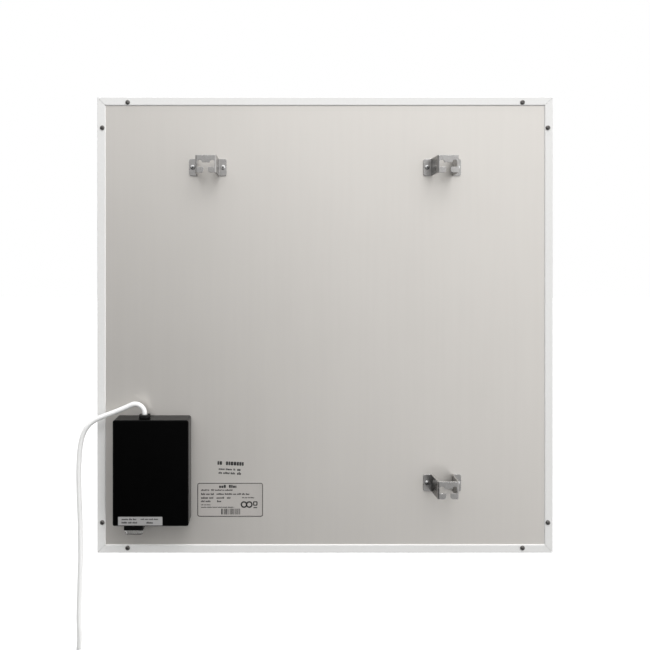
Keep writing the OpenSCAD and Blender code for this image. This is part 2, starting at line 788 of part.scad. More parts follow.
module plug_body() {
    neck_low = -plug_neck_l;
    body_low = neck_low - plug_body_l;
    color("white") translate(plug_top) difference() {
        union() {
            translate([0, 0, neck_low]) cylinder(r1 = 8.5, r2 = cord_r + 1.2, h = plug_neck_l);
            intersection() {
                union() {
                    translate([0, 0, neck_low - 12]) cylinder(r1 = plug_r, r2 = 9.5, h = 12);
                    translate([0, 0, body_low]) cylinder(r = plug_r, h = plug_body_l - 12);
                }
                translate([0, 0, (neck_low + body_low) / 2])
                    block([2 * plug_r, plug_flat_w, plug_body_l]);
            }
        }
        for (side = [-1, 1]) {
            translate([0, side * plug_flat_w / 2, body_low + 7]) block([6.4, 3, 15]);
            translate([side * pin_spacing / 2, 0, body_low - cut])
                cylinder(r = pin_root_r, h = pin_root_l + cut);
        }
        // Socket for an earth pin that stands out of a socket outlet
        translate([0, -10, body_low - cut]) cylinder(r = 2.6, h = 17 + cut);
    }
}

module plug_pins() {
    tip = 1.2;
    color("silver") for (side = [-1, 1])
        translate([plug_top[0] + side * pin_spacing / 2, plug_top[1], plug_face_z - pin_length]) {
            cylinder(r1 = pin_r - 0.8, r2 = pin_r, h = tip);
            translate([0, 0, tip]) cylinder(r = pin_r, h = pin_length - tip);
            translate([0, 0, pin_length - 0.1]) cylinder(r = pin_root_r, h = pin_root_l + 0.1);
        }
}

module plug_earth_clips()
    color("silver") for (side = [-1, 1])
        translate([plug_top[0], plug_top[1] + side * (plug_flat_w / 2 - 0.75), plug_face_z + 7])
            block([6, 1.2, 14]);

// ---- Labels ----

module rating_label()
    color("lightgray") translate([124, 0, panel_z - 228.5]) upright(plate_y, plate_y + 0.15)
        rounded_rect(86, 44.4, 3);

module box_sticker()
    color("silver") translate([box_x + 13, 0, box_bottom + 6.6]) upright(box_face, box_face + 0.15)
        rounded_rect(56, 10.8, 0.6);

frame_top();
frame_bottom();
frame_left();
frame_right();
corner_keys();
frame_screws();
back_plate();
insulation_board();
reflective_foil();
insulating_sheet();
copper_busbars();
heating_film();
radiating_plate();
thermal_cutouts();
bracket_upper_right();
bracket_upper_left();
bracket_lower_left();
bracket_rivets();
control_box_cover();
control_box_foot();
control_box_screws();
circuit_board();
circuit_screws();
relay();
power_module();
terminal_block();
filter_capacitor();
varistor();
fuse();
wireless_module();
wire_grommet();
live_wire();
neutral_wire();
earth_wire();
earth_screw();
strain_relief();
cord_sheath_end();
cord_cores();
switch_housing();
switch_rocker();
switch_terminals();
switch_wires();
switch_boot();
power_cord();
cord_coil();
cord_tail();
cord_ties();
plug_body();
plug_pins();
plug_earth_clips();
rating_label();
box_sticker();
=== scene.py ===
"""Looks of a framed infrared heating panel, seen from behind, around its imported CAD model."""

import math
import random

import bmesh
import bpy
from mathutils import Matrix, Vector


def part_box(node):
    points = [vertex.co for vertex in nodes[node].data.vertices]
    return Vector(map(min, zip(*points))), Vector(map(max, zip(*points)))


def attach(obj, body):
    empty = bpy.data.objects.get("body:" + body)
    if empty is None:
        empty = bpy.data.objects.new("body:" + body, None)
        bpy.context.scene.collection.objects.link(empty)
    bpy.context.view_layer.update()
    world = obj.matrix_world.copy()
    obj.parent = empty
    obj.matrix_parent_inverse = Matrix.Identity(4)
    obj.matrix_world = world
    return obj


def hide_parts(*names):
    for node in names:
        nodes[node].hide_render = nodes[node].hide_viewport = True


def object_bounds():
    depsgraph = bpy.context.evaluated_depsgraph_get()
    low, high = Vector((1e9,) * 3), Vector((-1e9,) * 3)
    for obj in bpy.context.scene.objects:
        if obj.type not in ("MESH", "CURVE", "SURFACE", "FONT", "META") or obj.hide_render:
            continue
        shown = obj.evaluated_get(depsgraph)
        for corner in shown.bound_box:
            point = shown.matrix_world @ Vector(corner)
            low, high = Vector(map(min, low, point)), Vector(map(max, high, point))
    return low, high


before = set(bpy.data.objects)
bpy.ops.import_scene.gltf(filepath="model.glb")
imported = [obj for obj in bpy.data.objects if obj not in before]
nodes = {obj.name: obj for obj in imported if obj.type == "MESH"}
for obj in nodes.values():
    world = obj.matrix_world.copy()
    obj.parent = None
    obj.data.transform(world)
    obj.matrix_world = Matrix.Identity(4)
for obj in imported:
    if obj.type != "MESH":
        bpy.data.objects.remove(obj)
cad_low, cad_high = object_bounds()
MM = 0.001
BODY = "panel"


# ---- Places read from the frame ----


def centre(node):
    low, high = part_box(node)
    return (low + high) / 2


plate_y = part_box("back_plate")[1].y
panel_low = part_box("frame_bottom")[0]
panel_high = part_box("frame_top")[1]
panel_centre = (panel_low + panel_high) / 2


# ---- Camera ----

CAMERA_DISTANCE = 0.830  # from the back plate
CAMERA_ASIDE = Vector((0.0745, 0, 0.0725))  # from the panel's centre
VIEW_WIDTH = 0.850  # what the picture spans at the back plate
SENSOR = 36.0
NEAREST_SEEN, FARTHEST_SEEN = 0.02, 60


def make_camera():
    """Camera that looks straight at the back; its lens shift brings the panel to the middle."""
    data = bpy.data.cameras.new("camera")
    data.sensor_width = SENSOR
    data.lens = SENSOR * CAMERA_DISTANCE / VIEW_WIDTH
    data.shift_x = CAMERA_ASIDE.x / VIEW_WIDTH
    data.shift_y = -CAMERA_ASIDE.z / VIEW_WIDTH
    data.clip_start = NEAREST_SEEN
    data.clip_end = FARTHEST_SEEN
    camera = bpy.data.objects.new("camera", data)
    camera.location = Vector((panel_centre.x, plate_y + CAMERA_DISTANCE, panel_centre.z)) + CAMERA_ASIDE
    camera.rotation_euler = (math.radians(90), 0, math.radians(180))
    bpy.context.scene.collection.objects.link(camera)
    bpy.context.scene.camera = camera


# ---- Mesh helpers ----

SHARP_ANGLE = math.radians(35)


def link(name, data):
    piece = bpy.data.objects.new(name, data)
    bpy.context.scene.collection.objects.link(piece)
    return piece


def mesh_piece(name, bm, smooth=True):
    bmesh.ops.recalc_face_normals(bm, faces=bm.faces)
    mesh = bpy.data.meshes.new(name)
    bm.to_mesh(mesh)
    bm.free()
    for face in mesh.polygons:
        face.use_smooth = smooth
    return link(name, mesh)


def finish_piece(piece, slot, *replaced):
    """Makes a piece ride on the panel and stand for CAD nodes; its slot is not used."""
    if piece.type == "MESH":
        piece.data.set_sharp_from_angle(angle=SHARP_ANGLE)
    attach(piece, BODY)
    if replaced:
        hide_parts(*replaced)
    return piece


def join_rings(bm, low, high):
    count = len(low)
    for i in range(count):
        j = (i + 1) % count
        bm.faces.new((low[i], low[j], high[j], high[i]))


def loft(bm, rings, cap_start=True, cap_end=True):
    """Skins a list of rings, each a list of the same number of points."""
    made = [[bm.verts.new(p) for p in ring] for ring in rings]
    for low, high in zip(made, made[1:]):
        join_rings(bm, low, high)
    if cap_start:
        bm.faces.new(made[0][::-1])
    if cap_end:
        bm.faces.new(made[-1])
    return made


def turned(bm, place, profile):
    """Solid of revolution about the y axis through place, from (radius, height) pairs."""
    steps = 24
    angles = [2 * math.pi * k / steps for k in range(steps)]
    rings = []
    for radius, height in profile:
        rings.append([place + Vector((radius * math.cos(a), height, radius * math.sin(a))) for a in angles])
    loft(bm, rings)


def rounded_outline(width, height, radius, corner_steps=6):
    """Points (x, z) round a rectangle with rounded corners, about the origin."""
    points = []
    for quarter, (sx, sz) in enumerate([(1, 1), (-1, 1), (-1, -1), (1, -1)]):
        for k in range(corner_steps + 1):
            a = math.pi / 2 * (quarter + k / corner_steps)
            points.append((
                sx * (width / 2 - radius) + radius * math.cos(a),
                sz * (height / 2 - radius) + radius * math.sin(a),
            ))
    return points


# ---- Materials ----


WAVE_PERIOD = 0.31  # of the wave texture at scale 1


class Look:
    """A material whose colour, roughness and relief come from patterns laid out in the piece's own space."""

    def __init__(self, name, **uniform):
        self.material = bpy.data.materials.new(name)
        self.material.use_nodes = True
        self.tree = self.material.node_tree
        self.shader = self.tree.nodes["Principled BSDF"]
        self.place = self.add("ShaderNodeTexCoord").outputs["Object"]
        self.normal = None
        for socket, value in uniform.items():
            self.shader.inputs[socket.replace("_", " ")].default_value = value

    def add(self, kind, **inputs):
        node = self.tree.nodes.new(kind)
        for socket, value in inputs.items():
            self.feed(value, node.inputs[socket.replace("_", " ")])
        return node

    def feed(self, value, socket):
        if isinstance(value, bpy.types.NodeSocket):
            self.tree.links.new(value, socket)
        else:
            socket.default_value = value

    def scaled(self, stretch):
        node = self.add("ShaderNodeVectorMath")
        node.operation = "MULTIPLY"
        self.feed(self.place, node.inputs[0])
        node.inputs[1].default_value = [1 / s for s in stretch]
        return node.outputs["Vector"]

    def noise(self, size_mm, stretch=(1, 1, 1), detail=3):
        """Soft blotches about size_mm across, longer along a stretched axis."""
        node = self.add(
            "ShaderNodeTexNoise", Vector=self.scaled(stretch), Scale=1 / (size_mm * MM), Detail=detail
        )
        return node.outputs["Fac"]

    def cells(self, size_mm, output="Color", stretch=(1, 1, 1)):
        """Cells about size_mm across: a random value for each, or the distance from its middle."""
        node = self.add("ShaderNodeTexVoronoi", Vector=self.scaled(stretch), Scale=1 / (size_mm * MM))
        if output == "Distance":
            return node.outputs["Distance"]
        split = self.add("ShaderNodeSeparateColor", Color=node.outputs["Color"])
        return split.outputs["Red"]

    def waves(self, size_mm, direction="X", distortion=1.0):
        node = self.add(
            "ShaderNodeTexWave", Vector=self.place, Scale=WAVE_PERIOD / (size_mm * MM), Distortion=distortion
        )
        node.bands_direction = direction
        return node.outputs["Fac"]

    def math(self, operation, a, b):
        node = self.add("ShaderNodeMath")
        node.operation = operation
        self.feed(a, node.inputs[0])
        self.feed(b, node.inputs[1])
        return node.outputs["Value"]

    def average(self, a, b):
        return self.math("MULTIPLY", self.math("ADD", a, b), 0.5)

    def ranged(self, factor, low, high, start=0.3, end=0.7):
        node = self.add("ShaderNodeMapRange", Value=factor)
        node.inputs["From Min"].default_value = start
        node.inputs["From Max"].default_value = end
        node.inputs["To Min"].default_value = low
        node.inputs["To Max"].default_value = high
        return node.outputs["Result"]

    def colour(self, factor, *colours, start=0.3, end=0.7):
        """Colours spread evenly over the factor's range, in linear values."""
        ramp = self.add("ShaderNodeValToRGB", Fac=self.ranged(factor, 0, 1, start, end))
        stops = ramp.color_ramp.elements
        while len(stops) < len(colours):
            stops.new(0.5)
        for k, (stop, colour) in enumerate(zip(stops, colours)):
            stop.position = k / (len(colours) - 1)
            stop.color = (*colour, 1)
        self.feed(ramp.outputs["Color"], self.shader.inputs["Base Color"])

    def rough(self, factor, low, high, start=0.3, end=0.7):
        self.feed(self.ranged(factor, low, high, start, end), self.shader.inputs["Roughness"])

    def soft_edges(self, radius_mm):
        """Rounds sharp edges in the shading alone."""
        self.normal = self.add("ShaderNodeBevel", Radius=radius_mm * MM).outputs["Normal"]
        self.feed(self.normal, self.shader.inputs["Normal"])

    def near_edge(self, gain):
        """Zero on flat ground, rising where soft_edges rounds an edge."""
        node = self.add("ShaderNodeVectorMath")
        node.operation = "DOT_PRODUCT"
        self.feed(self.normal, node.inputs[0])
        self.feed(self.add("ShaderNodeNewGeometry").outputs["True Normal"], node.inputs[1])
        return self.math("MULTIPLY", self.math("SUBTRACT", 1.0, node.outputs["Value"]), gain)

    def relief(self, factor, height_mm, strength=1.0):
        node = self.add("ShaderNodeBump", Height=factor, Distance=height_mm * MM, Strength=strength)
        if self.normal:
            self.feed(self.normal, node.inputs["Normal"])
        self.normal = node.outputs["Normal"]
        self.feed(self.normal, self.shader.inputs["Normal"])

    def dress(self, *names):
        for name in names:
            mesh = bpy.data.objects[name].data
            if not mesh.materials:
                mesh.materials.append(self.material)
            for k in range(len(mesh.materials)):
                mesh.materials[k] = self.material


def grey(value, warmth=0.0):
    return (value * (1 + warmth), value, value * (1 - warmth))


def powder_coat(name, low, high, peel_mm, peel_height, roughness, *dressed):
    """Paint with the fine orange peel of baked powder, slightly uneven in tone."""
    look = Look(name, Specular_IOR_Level=0.5)
    look.soft_edges(0.35)
    cloudy = look.noise(160, detail=2)
    peel = look.noise(peel_mm, detail=2)
    look.colour(look.average(cloudy, look.noise(3)), low, high)
    look.rough(look.noise(9, detail=4), *roughness)
    look.relief(peel, peel_height)
    look.relief(look.noise(0.35, detail=1), peel_height / 4)
    look.dress(*dressed)


def rolled_sheet(name, *dressed):
    """Coated rear sheet with the grain of rolling, which runs up and down and stretches reflections."""
    look = Look(name, Metallic=0.6, Anisotropic=0.7, Anisotropic_Rotation=0.25)
    streaks = look.noise(7, stretch=(1, 1, 24), detail=4)
    grain = look.noise(0.45, stretch=(1, 1, 40), detail=3)
    clouds = look.noise(95, detail=2)
    look.colour(look.average(clouds, streaks), (0.726, 0.698, 0.661), (0.748, 0.72, 0.682))
    look.rough(look.average(streaks, look.noise(16, detail=3)), 0.36, 0.40)
    look.relief(look.noise(45, stretch=(1, 1, 1.6), detail=1), 0.10)
    look.relief(grain, 0.002)
    look.dress(*dressed)


def galvanised(name, *dressed):
    """Zinc coat with its crystals, each a slightly different grey, and a painted highlight along its edges.
    """
    look = Look(name, Metallic=1.0)
    look.soft_edges(0.7)
    crystals = look.cells(2.6)
    fine = look.noise(0.9, detail=4)
    tone = look.math("MULTIPLY", look.average(crystals, fine), 0.5)
    tones = grey(0.35, 0.02), grey(0.43, 0.02), grey(0.64, 0.02), grey(0.88, 0.01)
    # near_edge lifts the colour where the edges are rounded: a painted highlight along every edge, whose
    # palest stop is the highlight colour
    look.colour(look.math("ADD", tone, look.near_edge(3.0)), *tones, start=0, end=1)
    look.rough(look.average(crystals, look.noise(5)), 0.26, 0.34, start=0.2, end=0.8)
    look.relief(crystals, 0.005, 0.6)
    look.relief(fine, 0.006)
    look.dress(*dressed)


def metal(name, low, high, roughness, grain_mm, *dressed, stretch=(1, 1, 1), depth_mm=0.006):
    look = Look(name, Metallic=1.0)
    look.soft_edges(0.12)
    grain = look.noise(grain_mm, stretch=stretch, detail=4)
    look.colour(look.average(grain, look.noise(grain_mm * 9, detail=2)), low, high)
    look.rough(grain, *roughness)
    look.relief(grain, depth_mm)
    look.dress(*dressed)


def plastic(name, low, high, roughness, grain_mm, *dressed, depth_mm=0.01, edge_mm=0.25, **uniform):
    """Moulded plastic with a fine spark-eroded grain and faint flow marks."""
    look = Look(name, **uniform)
    look.soft_edges(edge_mm)
    flow = look.noise(grain_mm * 45, stretch=(1, 1, 2), detail=2)
    grain = look.noise(grain_mm, detail=3)
    look.colour(look.average(flow, grain), low, high)
    look.rough(look.average(look.noise(grain_mm * 12), grain), *roughness)
    look.relief(grain, depth_mm)
    look.dress(*dressed)


def rubbed_plastic(name, low, high, roughness, *dressed):
    """Soft cable sheath: nearly smooth, with faint lengthwise unevenness and handling marks."""
    look = Look(name, Subsurface_Weight=0.3, Subsurface_Radius=(1, 1, 1), Subsurface_Scale=0.003)
    marks = look.noise(11, detail=5)
    look.colour(look.average(marks, look.noise(2.2)), low, high)
    look.rough(marks, *roughness)
    look.relief(look.noise(3.5, detail=2), 0.05)
    look.relief(look.noise(0.5, detail=2), 0.006)
    look.dress(*dressed)


# ---- Strain relief, ties and plug ----

CORD_D = 6.4 * MM
WELD = 0.01 * MM  # points closer than this become one


def paired_angles(count, edges):
    """Angles of a ring with a close pair at each edge, so that a step can stand there."""
    gap = math.radians(0.6)
    regular = [2 * math.pi * k / count for k in range(count)]
    clear_of_edges = [a for a in regular if all(abs(a - e) > 3 * gap for e in edges)]
    return sorted(clear_of_edges + [e - gap for e in edges] + [e + gap for e in edges])


def flattened(radius, half_flat, angle):
    """Radius at an angle of a circle whose two sides in y are cut flat."""
    sine = abs(math.sin(angle))
    return half_flat / sine if radius * sine > half_flat else radius


def cord_exit():
    low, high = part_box("strain_relief")
    return Vector(((low.x + high.x) / 2, (low.y + high.y) / 2, high.z))


def make_strain_relief():
    """Black clamp bush: a head with flats and a wedge slit, a grooved neck and a tapered tail."""
    top = cord_exit()
    low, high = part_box("strain_relief")
    head_r, half_flat, head_h = (high.x - low.x) / 2, (high.y - low.y) / 2, 4.5 * MM
    neck_r, tail_r, bore = 5.8 * MM, CORD_D / 2 + 1.4 * MM, CORD_D / 2 + 0.1 * MM
    wall, rounding, shoulder, bevel = 2.2 * MM, 0.9 * MM, 0.25 * MM, 0.3 * MM
    slit_half, slit_depth, slit_in = math.radians(24), 2.7 * MM, 0.5 * MM
    slit = [math.pi - slit_half, math.pi + slit_half]
    angles = paired_angles(64, slit)
    length = high.z - low.z
    profile = [
        (bore, -length), (tail_r - bevel, -length), (tail_r, -length + 0.4 * MM),
        (neck_r, -head_h - wall), (neck_r, -head_h), (head_r - shoulder, -head_h),
        (head_r, -head_h + bevel), (head_r, -rounding), (head_r - shoulder, -bevel),
        (head_r - rounding, 0), (bore + rounding, 0), (bore + 0.2 * MM, -shoulder), (bore, -rounding),
    ]
    rings = []
    for radius, depth in profile:
        ring = []
        for a in angles:
            r = flattened(radius, half_flat - (head_r - radius), a) if radius > neck_r else radius
            in_slit = slit[0] < a < slit[1] and depth > -slit_depth and radius > bore + slit_in
            z = -slit_depth if in_slit else depth
            ring.append(top + Vector((r * math.cos(a), r * math.sin(a), z)))
        rings.append(ring)
    bm = bmesh.new()
    made = loft(bm, rings, cap_start=False, cap_end=False)
    join_rings(bm, made[-1], made[0])
    bmesh.ops.remove_doubles(bm, verts=bm.verts, dist=WELD)
    return finish_piece(mesh_piece("strain_relief_bush", bm), "black_nylon", "strain_relief")


def make_cord_ties():
    """Two hook-and-loop straps, each wrapped once round the coil with its end lapped over."""
    low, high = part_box("cord_ties")
    strap_w, strap_t, corner = 10 * MM, 1.05 * MM, 0.3 * MM
    room = 1.2 * MM  # between the bundle and the outside of a strap
    bundle_w = high.y - low.y - 2 * room
    bundle_h = 2 * CORD_D + 1.4 * MM
    first_point, lap_points, rise_points = 3, 9, 4  # the end climbs onto the strap and lies on it
    lap_height, tip_share = 1.05, 0.82
    middle_x = (low.x + high.x) / 2
    bm = bmesh.new()
    for middle_z in (high.z - bundle_h / 2 - room, low.z + bundle_h / 2 + room):
        path = []
        outline = rounded_outline(bundle_w, bundle_h, 4.4 * MM, corner_steps=7)
        lapped = len(outline) + lap_points
        climb_start = len(outline) - rise_points - 1
        for k in range(lapped + 1):
            y, z = outline[(k + first_point) % len(outline)]
            outward = Vector((0, y, z)).normalized()
            climbed = max(0, min(1, (k - climb_start) / rise_points))
            lift = strap_t * (0.5 + lap_height * climbed)
            path.append(Vector((middle_x, (low.y + high.y) / 2 + y, middle_z + z)) + outward * lift)
        rings = []
        for k, point in enumerate(path):
            along = (path[min(k + 1, lapped)] - path[max(k - 1, 0)]).normalized()
            side = Vector((1, 0, 0))
            out = side.cross(along)
            taper = 1 if k < lapped - 1 else tip_share
            half_w, half_t = strap_w / 2 * taper, strap_t / 2
            section = [
                (-half_w, -half_t + corner), (-half_w + corner, -half_t), (half_w - corner, -half_t),
                (half_w, -half_t + corner), (half_w, half_t - corner), (half_w - corner, half_t),
                (-half_w + corner, half_t), (-half_w, half_t - corner),
            ]
            rings.append([point + side * u + out * v for u, v in section])
        loft(bm, rings)
    return finish_piece(mesh_piece("cord_wraps", bm), "tie_grey", "cord_ties")


def make_plug():
    """Moulded mains plug: ribbed sleeve, flared shoulder, grip ridges, earth slots and an earth socket."""
    low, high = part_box("plug_body")
    axis = Vector(((low.x + high.x) / 2, (low.y + high.y) / 2, 0))
    body_r, half_flat = (high.x - low.x) / 2, (high.y - low.y) / 2
    sleeve_l, shoulder_l, slot_l = 22 * MM, 12 * MM, 14.5 * MM
    sleeve_thin, sleeve_thick = CORD_D / 2 + 1.1 * MM, 8.4 * MM
    shoulder_r, shoulder_flare, shoulder_steps = 9 * MM, 1.3, 8
    flat_taper = 0.4  # how far the flats draw in as the body gets thinner
    ribs, points_per_rib, groove_depth = 6, 4, 0.75 * MM
    grip_pitch, grip_depth, grip_half = 3.2 * MM, 0.35 * MM, 0.42  # the last as a sine of its angle
    slot_half, slot_depth = 3.2 * MM, 1.5 * MM
    body_top = high.z - sleeve_l
    slot_angle = math.asin(slot_half / half_flat)
    edges = [math.pi / 2 * s + side * slot_angle for s in (1, 3) for side in (-1, 1)]
    angles = paired_angles(72, edges)
    profile = []
    for k in range(points_per_rib * ribs + 1):
        share = k / (points_per_rib * ribs)
        radius = sleeve_thin + (sleeve_thick - sleeve_thin) * share
        in_groove = k % points_per_rib in (1, 2) and k > 1
        profile.append((radius - (groove_depth if in_groove else 0), high.z - sleeve_l * share))
    for k in range(1, shoulder_steps + 1):
        angle = math.pi / 2 * k / shoulder_steps
        radius = shoulder_r + (body_r - shoulder_r) * math.sin(angle) ** shoulder_flare
        profile.append((radius, body_top - shoulder_l * (1 - math.cos(angle))))
    ridge_top, ridge_low = body_top - shoulder_l - 0.5 * MM, low.z + 3 * MM
    ridge_steps = 24
    for k in range(ridge_steps + 1):
        profile.append((body_r, ridge_top + (ridge_low - ridge_top) * k / ridge_steps))
    profile += [
        (body_r, low.z + 1.0 * MM), (body_r - 0.35 * MM, low.z + 0.3 * MM), (body_r - 1.0 * MM, low.z),
    ]
    bm = bmesh.new()
    rings = []
    for radius, z in profile:
        ring = []
        for a in angles:
            r = flattened(radius, half_flat - max(0, body_r - radius) * flat_taper, a)
            in_slot = abs(math.cos(a)) < math.sin(slot_angle) and z < low.z + slot_l
            on_grip = abs(math.sin(a)) < grip_half and ridge_low <= z <= ridge_top
            if in_slot:
                r -= slot_depth
            if on_grip:
                r -= grip_depth * (1 - math.cos(2 * math.pi * (z - ridge_low) / grip_pitch))
            ring.append(Vector((axis.x + r * math.cos(a), axis.y + r * math.sin(a), z)))
        rings.append(ring)
    made = loft(bm, rings, cap_end=False)
    socket_steps, socket_r, socket_l, socket_aside = 20, 2.6 * MM, 17 * MM, 10 * MM
    socket = Vector((axis.x, axis.y - socket_aside, 0))
    turn = [2 * math.pi * k / socket_steps for k in range(socket_steps)]
    hole = []
    for z in (low.z, low.z + socket_l):
        hole.append([
            bm.verts.new(socket + Vector((socket_r * math.cos(a), socket_r * math.sin(a), z))) for a in turn
        ])
    join_rings(bm, hole[0], hole[1])
    bm.faces.new(hole[1])
    rim = []
    for ring in (made[-1], hole[0]):
        rim += [bm.edges.get((ring[i], ring[(i + 1) % len(ring)])) for i in range(len(ring))]
    bmesh.ops.triangle_fill(bm, edges=rim, use_beauty=True)
    return finish_piece(mesh_piece("plug_moulding", bm), "white_pvc", "plug_body")


# ---- Power cord ----

# Middle line of the lead down to the coil and of the tail after it, in mm from the strain relief's top
LEAD_POINTS = [
    (0, 0, 0), (1, 0, 5.3), (4.1, 0, 9.7), (8.7, 0, 12.5), (14, 0, 12.9), (19.1, 0, 11.2),
    (24.3, 0, 8.8), (31, 0, 5.9), (40, 0, 2.3), (51, 0, -1.8), (62.5, 0, -6.8), (72.5, 0, -14.5),
    (79.5, 0, -26.5), (83.3, 0, -45), (84.8, 0, -72), (84.3, 0, -105), (83, 0, -140),
    (82.5, 0, -180), (83.5, 0, -220), (84.5, 0, -260), (84.5, -2, -290), (88, -6, -315),
    (96, -11, -340), (105, -12.8, -368),
]
TAIL_POINTS = [(104.5, -6, -417), (100.5, -6, -430), (100, -6, -443)]
COIL_CENTRE = Vector((73, 0, -385)) * MM
COIL_D = 70 * MM
TURNS_PER_LAYER = 3
POINTS_PER_TURN = 18
STEP_ANGLE = 60  # degrees round the coil in which the cord moves over by one diameter


def ease(t):
    t = min(1, max(0, t))
    return t * t * (3 - 2 * t)


def steps_made(turned_by, first, turns):
    """How many lanes the cord has moved over, one in each of the turns counted from an angle."""
    return sum(ease((turned_by - first - 360 * n) / STEP_ANGLE) for n in turns)


def coil_points():
    """Three turns side by side, then three round them, wound downwards from the right-hand side.

    Angles are in degrees wound so far.
    """
    inner_start = -20  # the lead comes in beside the first turn
    climb = 360 * TURNS_PER_LAYER - 80  # where it moves out to the second layer
    outer_step = climb - STEP_ANGLE
    last = 360 * 2 * TURNS_PER_LAYER + 24  # where the tail leaves
    first_lane = -2 * CORD_D
    points = []
    count = round(last / 360 * POINTS_PER_TURN)
    for k in range(count + 1):
        turned_by = last * k / count
        lane = first_lane
        lane += CORD_D * steps_made(turned_by, inner_start, range(TURNS_PER_LAYER))
        lane -= CORD_D * steps_made(turned_by, outer_step, range(1, TURNS_PER_LAYER))
        radius = (COIL_D - CORD_D) / 2 + CORD_D * ease((turned_by - climb) / STEP_ANGLE)
        angle = math.radians(-turned_by)
        points.append(COIL_CENTRE + Vector((radius * math.cos(angle), lane, radius * math.sin(angle))))
    return points


def make_power_cord(*pieces_on_it):
    start = cord_exit()
    points = [Vector(p) * MM for p in LEAD_POINTS]
    points += coil_points()
    points += [Vector(p) * MM for p in TAIL_POINTS]
    curve = bpy.data.curves.new("power_cord_whole", "CURVE")
    curve.dimensions = "3D"
    curve.bevel_depth = 1.0  # times each point's radius, which also gives the curve's box its margin
    curve.bevel_resolution = 6
    curve.resolution_u = 8
    curve.use_fill_caps = True
    spline = curve.splines.new("BEZIER")
    spline.bezier_points.add(len(points) - 1)
    for k, point in enumerate(spline.bezier_points):
        before, after = points[max(k - 1, 0)], points[min(k + 1, len(points) - 1)]
        step = (after - before) / 6  # this share of the way makes the curve pass its points smoothly
        point.co = start + points[k]
        point.radius = CORD_D / 2
        point.handle_left_type = "FREE"
        point.handle_right_type = "FREE"
        point.handle_left = point.co - step
        point.handle_right = point.co + step
    cord = link("power_cord_whole", curve)
    bpy.context.view_layer.update()
    finish_piece(cord, "white_pvc", "power_cord", "cord_coil", "cord_tail")


# ---- Small parts ----


def make_rivet_mandrels():
    """Snapped-off pins that stay in the middle of the pop rivets."""
    low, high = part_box("bracket_rivets")
    head_r, pin_r, pin_l, sunk = 3.2 * MM, 1.06 * MM, 1.4 * MM, 0.35 * MM
    top = high.y - sunk
    foot = top - pin_l
    aside = centre("bracket_upper_left").x - low.x - head_r
    rng = random.Random(4)
    bm = bmesh.new()
    for bracket in ("bracket_upper_right", "bracket_upper_left", "bracket_lower_left"):
        for side in (-1, 1):
            place = centre(bracket) + Vector((side * aside, 0, 0))
            place.y = 0
            tip = top - rng.uniform(0, 0.3) * MM
            turned(bm, place, [
                (pin_r, foot), (pin_r, tip - 0.25 * MM), (0.9 * MM, tip - 0.06 * MM),
                (0.6 * MM, tip), (0.3 * MM, tip - 0.12 * MM),
            ])
    return finish_piece(mesh_piece("rivet_mandrels", bm), "screw_steel")


# ---- Printed marks, with bars in place of every word ----

INK_T = 0.04 * MM


